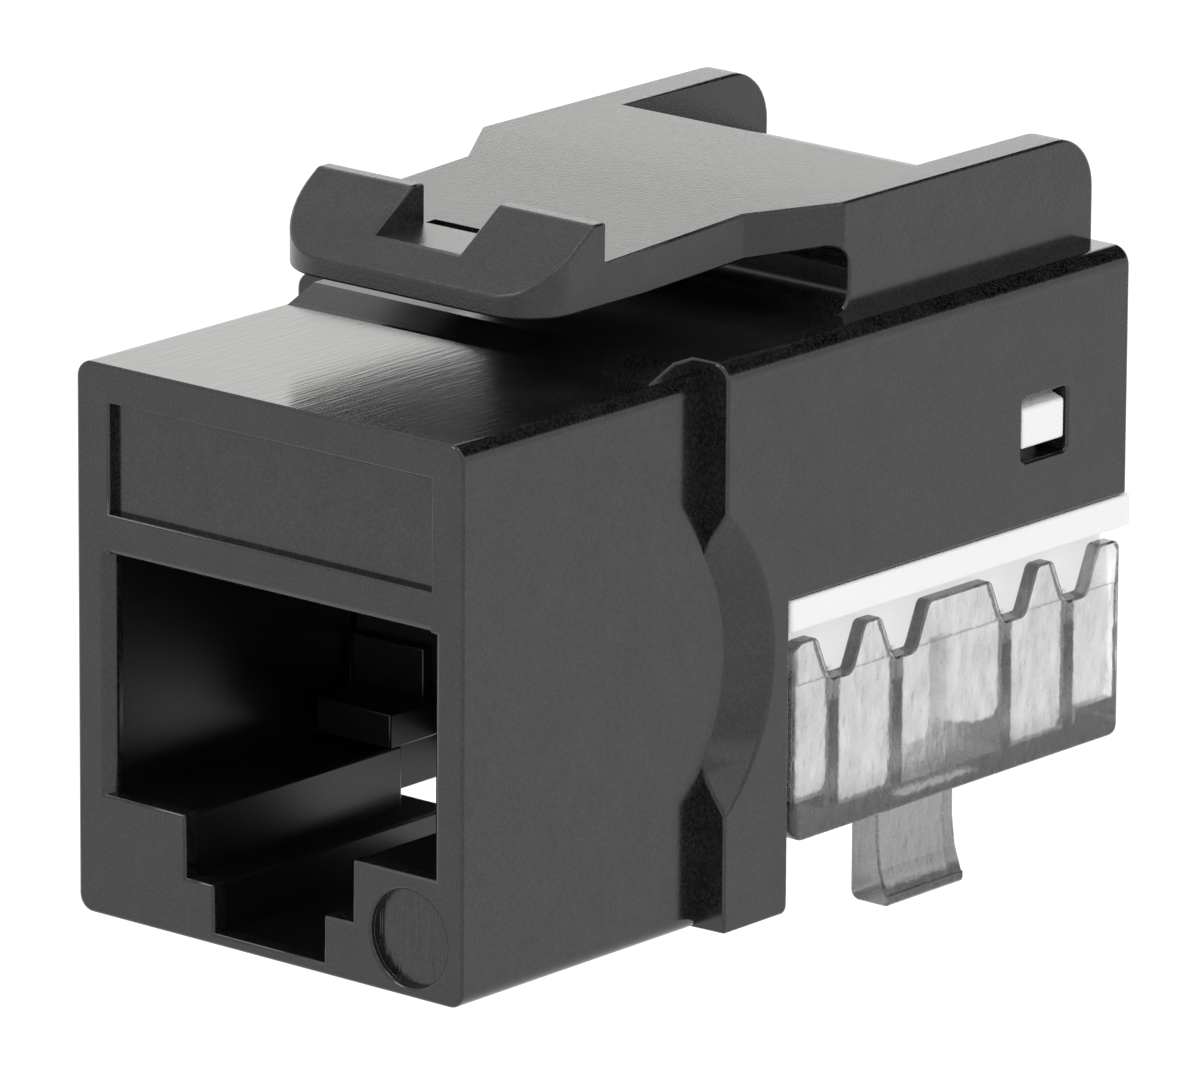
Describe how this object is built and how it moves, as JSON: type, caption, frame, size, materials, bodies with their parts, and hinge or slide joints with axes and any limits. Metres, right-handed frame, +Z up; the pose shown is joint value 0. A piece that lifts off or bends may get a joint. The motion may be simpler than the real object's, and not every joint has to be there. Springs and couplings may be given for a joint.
{
  "type": "keystone jack",
  "caption": "Network keystone jack: black snap-in housing with a modular port, a latch arm, a white wire block and a clear push-on wire cap.",
  "frame": {"origin": "middle of the base of the whole jack, under the hooks of the wire cap's pull tabs", "axes": "the port looks along -Y, +X is to the right seen from the port, +Z is up toward the latch arm"},
  "size_m": [0.0162, 0.0288, 0.0224],
  "materials": {
    "housing_black": "moulded, low sheen",
    "carrier_black": "moulded, matt",
    "contact_gold": "gold plated spring wire",
    "board_green": "solder mask",
    "block_white": "moulded, satin",
    "terminal_tin": "tin plated",
    "cap_clear": "clear smoky moulding"
  },
  "bodies": {
    "jack": {"housing": "housing_black", "contact_carrier": "carrier_black", "contact_1": "contact_gold", "contact_2": "contact_gold", "contact_3": "contact_gold", "contact_4": "contact_gold", "contact_5": "contact_gold", "contact_6": "contact_gold", "contact_7": "contact_gold", "contact_8": "contact_gold", "circuit_board": "board_green", "idc_block": "block_white", "idc_terminal_1": "terminal_tin", "idc_terminal_2": "terminal_tin", "idc_terminal_3": "terminal_tin", "idc_terminal_4": "terminal_tin", "idc_terminal_5": "terminal_tin", "idc_terminal_6": "terminal_tin", "idc_terminal_7": "terminal_tin", "idc_terminal_8": "terminal_tin"},
    "cap": {"wire_cap": "cap_clear"}
  },
  "joints": [
    {"name": "cap_pull", "type": "slide", "parent": "jack", "child": "cap", "axis": [0, 0, -1], "range_m": [0, 0.012]}
  ]
}
